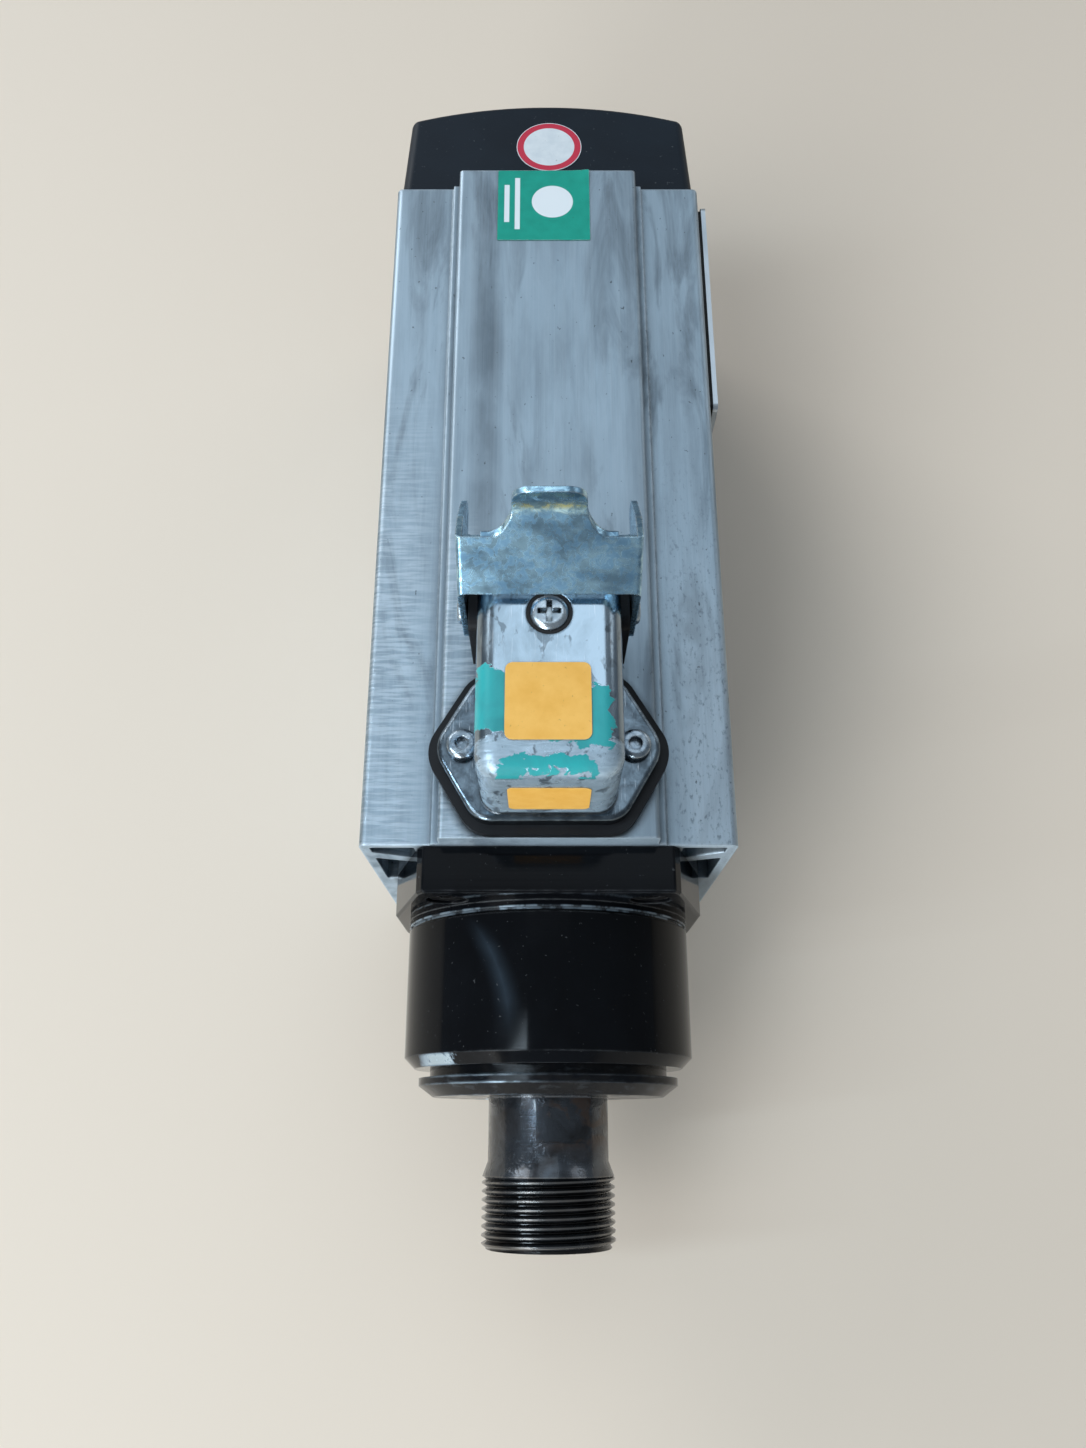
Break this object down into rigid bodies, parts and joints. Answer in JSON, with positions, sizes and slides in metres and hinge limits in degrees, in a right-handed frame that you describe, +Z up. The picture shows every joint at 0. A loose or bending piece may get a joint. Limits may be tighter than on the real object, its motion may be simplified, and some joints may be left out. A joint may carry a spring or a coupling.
{
  "type": "spindle motor",
  "caption": "Air-cooled spindle motor: square finned-corner aluminium body, round clamping barrel, threaded collet nose, rear fan cover and an angled plug connector with a locking lever.",
  "frame": {"origin": "on the spindle axis, in the front face of the flange, where the round barrel starts", "axes": "+Y back along the spindle axis, from the nose to the fan; +Z up to the plug connector; +X to the name plate's side"},
  "size_m": [0.07, 0.2483, 0.1236],
  "materials": {
    "body_aluminium": "drawn aluminium, lengthwise streaks, scuffed",
    "housing_black": "gloss black, oily",
    "ring_black": "black oxide, oily",
    "shaft_steel": "dark oiled steel with rust-brown tints",
    "bearing_steel": "ground and polished",
    "inner_steel": "machined",
    "cage_brown": "fabric-filled resin",
    "seal_rubber": "matt",
    "core_steel": "stacked laminations",
    "rotor_aluminium": "cast",
    "copper": "enamelled copper wire",
    "lead_insulation": "smooth",
    "spring_steel": "blued",
    "shield_aluminium": "cast and turned",
    "cover_black": "satin, fine texture",
    "fan_black": "moulded",
    "plate_metal": "satin, bare",
    "tape_black": "foam tape",
    "gasket_rubber": "satin",
    "connector_metal": "polished nickel plate",
    "insert_plastic": "glass-filled",
    "contact_metal": "silver plate",
    "pad_plastic": "smooth",
    "lever_zinc": "mottled zinc plate",
    "screw_zinc": "bright zinc plate",
    "screw_black": "black oxide"
  },
  "bodies": {
    "motor_frame": {"motor_housing": "body_aluminium", "front_bearing_housing": "housing_black", "front_housing_screws": "screw_black", "bearing_retaining_ring": "ring_black", "nose_dust_seal": "seal_rubber", "front_bearing_1_outer_ring": "bearing_steel", "front_bearing_2_outer_ring": "bearing_steel", "outer_ring_spacer": "inner_steel", "stator_core": "core_steel", "stator_winding": "copper", "motor_leads": "lead_insulation", "rear_bearing_outer_ring": "bearing_steel", "preload_wave_spring": "spring_steel", "rear_shield": "shield_aluminium", "rear_shield_screws": "screw_black", "fan_cover": "cover_black", "fan_cover_screws": "screw_black", "name_plate": "plate_metal", "name_plate_backing": "tape_black", "connector_gasket": "gasket_rubber", "connector_housing": "connector_metal", "connector_screws": "screw_zinc", "connector_insert": "insert_plastic", "connector_contacts": "contact_metal", "insert_screw": "screw_zinc", "insert_screw_seal": "gasket_rubber", "connector_side_pads": "pad_plastic", "lever_pivot_pins": "screw_zinc"},
    "spindle": {"spindle_shaft": "shaft_steel", "front_bearing_1_inner_ring": "bearing_steel", "front_bearing_2_inner_ring": "bearing_steel", "inner_ring_spacer": "inner_steel", "bearing_lock_washer": "inner_steel", "bearing_locknut": "inner_steel", "rotor_core": "core_steel", "rotor_front_end_ring": "rotor_aluminium", "rotor_rear_end_ring": "rotor_aluminium", "rear_bearing_inner_ring": "bearing_steel", "rear_bearing_circlip": "spring_steel", "cooling_fan": "fan_black", "fan_circlip": "spring_steel"},
    "front_ball_sets": {"front_bearing_1_balls": "bearing_steel", "front_bearing_2_balls": "bearing_steel", "front_bearing_1_cage": "cage_brown", "front_bearing_2_cage": "cage_brown"},
    "rear_ball_set": {"rear_bearing_balls": "bearing_steel", "rear_bearing_cage": "cage_brown"},
    "lever": {"locking_lever": "lever_zinc"}
  },
  "joints": [
    {"name": "spindle_spin", "type": "hinge", "parent": "motor_frame", "child": "spindle", "pos_m": [0, 0, 0], "axis": [0, 1, 0], "continuous": true},
    {"name": "front_balls_orbit", "type": "hinge", "parent": "motor_frame", "child": "front_ball_sets", "pos_m": [0, -0.0098, 0], "axis": [0, 1, 0], "continuous": true},
    {"name": "rear_balls_orbit", "type": "hinge", "parent": "motor_frame", "child": "rear_ball_set", "pos_m": [0, 0.158, 0], "axis": [0, 1, 0], "continuous": true},
    {"name": "lever_swing", "type": "hinge", "parent": "motor_frame", "child": "lever", "pos_m": [0, 0.045, 0.0537], "axis": [-1, 0, 0], "range_deg": [0, 75]}
  ],
  "couplings": [
    {"joint": "front_balls_orbit", "follows": "spindle_spin", "ratio": 0.4011},
    {"joint": "rear_balls_orbit", "follows": "spindle_spin", "ratio": 0.381}
  ]
}
